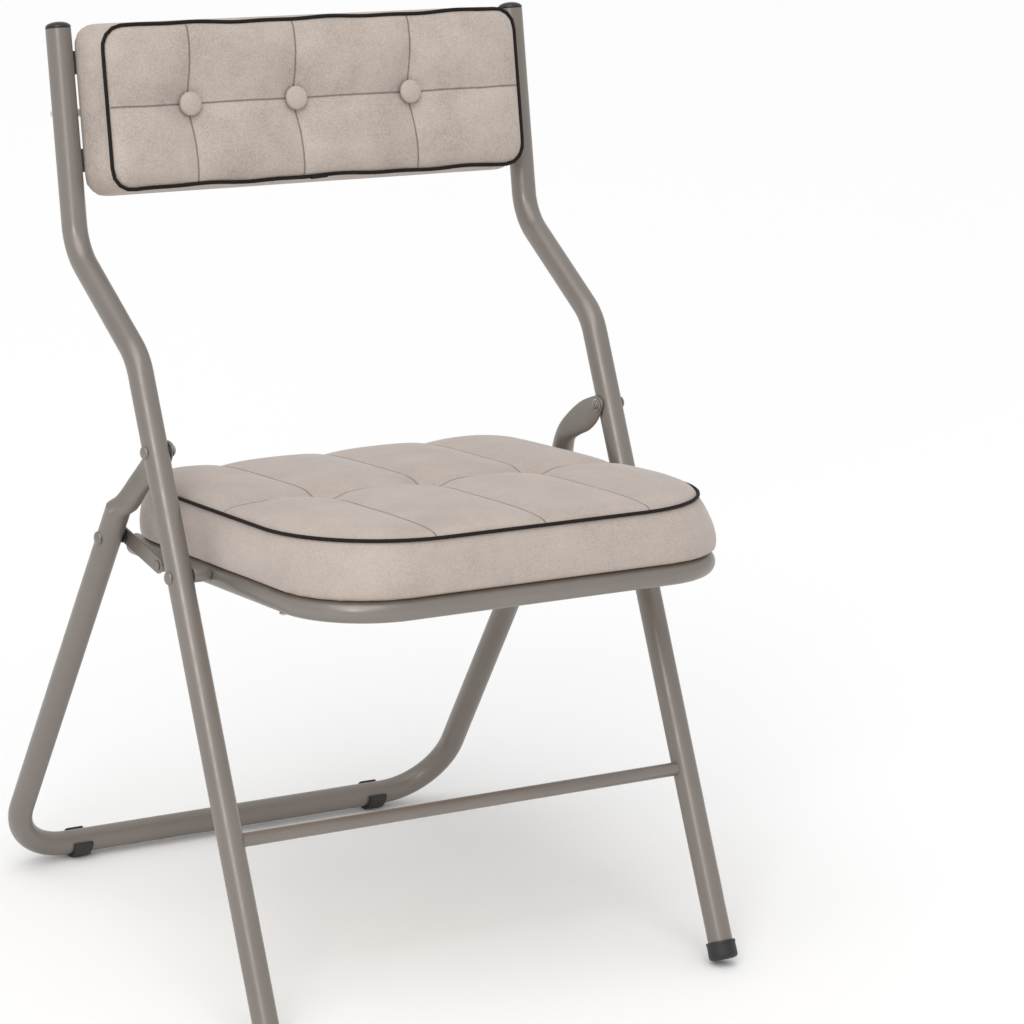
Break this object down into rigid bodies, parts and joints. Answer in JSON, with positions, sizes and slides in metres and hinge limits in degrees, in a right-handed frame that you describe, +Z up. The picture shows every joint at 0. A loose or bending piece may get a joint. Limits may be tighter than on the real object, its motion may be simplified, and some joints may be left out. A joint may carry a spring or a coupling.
{
  "type": "folding chair",
  "caption": "Folding chair of bent steel tube with a tufted, piped seat cushion and backrest. Rear legs and seat fold flat together against the front legs.",
  "frame": {"origin": "centre of the footprint's bounding box, on the floor", "axes": "+Z up; +Y towards the back of the chair, so the sitter faces -Y; +X to the right when the chair is seen from its front"},
  "size_m": [0.4876, 0.5234, 0.7886],
  "materials": {
    "steel_paint": "satin warm grey-beige powder coat",
    "bright_steel": "plain satin steel",
    "black_plastic": "black, satin",
    "rubber": "black, matt",
    "grey_plastic": "light grey, satin",
    "fabric": "fine woven beige-taupe upholstery",
    "piping": "black cord piping",
    "plywood": "raw plywood"
  },
  "bodies": {
    "front_frame": {"back_board": "plywood", "back_cushion": "fabric", "back_panel": "grey_plastic", "back_piping": "piping", "carry_handle": "grey_plastic", "front_cross_rod": "steel_paint", "left_back_button": "fabric", "left_front_boot": "rubber", "left_rear_leg_rivet": "steel_paint", "left_seat_rivet": "steel_paint", "left_side_tube": "steel_paint", "left_top_plug": "black_plastic", "lower_back_rail": "steel_paint", "lower_left_panel_screw": "bright_steel", "lower_right_panel_screw": "bright_steel", "middle_back_button": "fabric", "right_back_button": "fabric", "right_front_boot": "rubber", "right_rear_leg_rivet": "steel_paint", "right_seat_rivet": "steel_paint", "right_side_tube": "steel_paint", "right_top_plug": "black_plastic", "upper_back_rail": "steel_paint", "upper_left_panel_screw": "bright_steel", "upper_right_panel_screw": "bright_steel"},
    "rear_frame": {"left_link_rivet": "steel_paint", "left_link_spacer": "black_plastic", "left_pivot_washer": "bright_steel", "left_rear_foot": "rubber", "rear_leg_frame": "steel_paint", "right_link_rivet": "steel_paint", "right_link_spacer": "black_plastic", "right_pivot_washer": "bright_steel", "right_rear_foot": "rubber"},
    "seat": {"front_left_seat_screw": "bright_steel", "front_right_seat_screw": "bright_steel", "left_link_boss": "steel_paint", "left_seat_bush": "steel_paint", "left_seat_end_plug": "black_plastic", "rear_left_seat_screw": "bright_steel", "rear_right_seat_screw": "bright_steel", "right_link_boss": "steel_paint", "right_seat_bush": "steel_paint", "right_seat_end_plug": "black_plastic", "seat_board": "plywood", "seat_cushion": "fabric", "seat_frame_tube": "steel_paint", "seat_piping": "piping", "seat_rear_bar": "steel_paint"},
    "left_link_arm": {"left_link": "steel_paint", "left_link_front_rivet": "steel_paint"},
    "right_link_arm": {"right_link": "steel_paint", "right_link_front_rivet": "steel_paint"}
  },
  "joints": [
    {"name": "seat_fold", "type": "hinge", "parent": "front_frame", "child": "seat", "pos_m": [0, -0.05396, 0.35917], "axis": [1, 0, 0], "range_deg": [-111.25, 0]},
    {"name": "rear_leg_fold", "type": "hinge", "parent": "front_frame", "child": "rear_frame", "pos_m": [0, -0.00556, 0.45482], "axis": [1, 0, 0], "range_deg": [-53.8, 0]},
    {"name": "left_link_fold", "type": "hinge", "parent": "rear_frame", "child": "left_link_arm", "pos_m": [-0.2135, 0.07112, 0.36031], "axis": [1, 0, 0], "range_deg": [0, 79.13]},
    {"name": "right_link_fold", "type": "hinge", "parent": "rear_frame", "child": "right_link_arm", "pos_m": [0.2135, 0.07112, 0.36031], "axis": [1, 0, 0], "range_deg": [0, 79.13]}
  ],
  "couplings": [
    {"joint": "rear_leg_fold", "follows": "seat_fold", "ratio": 0.4836},
    {"joint": "left_link_fold", "follows": "seat_fold", "ratio": -0.71128},
    {"joint": "right_link_fold", "follows": "seat_fold", "ratio": -0.71128}
  ]
}
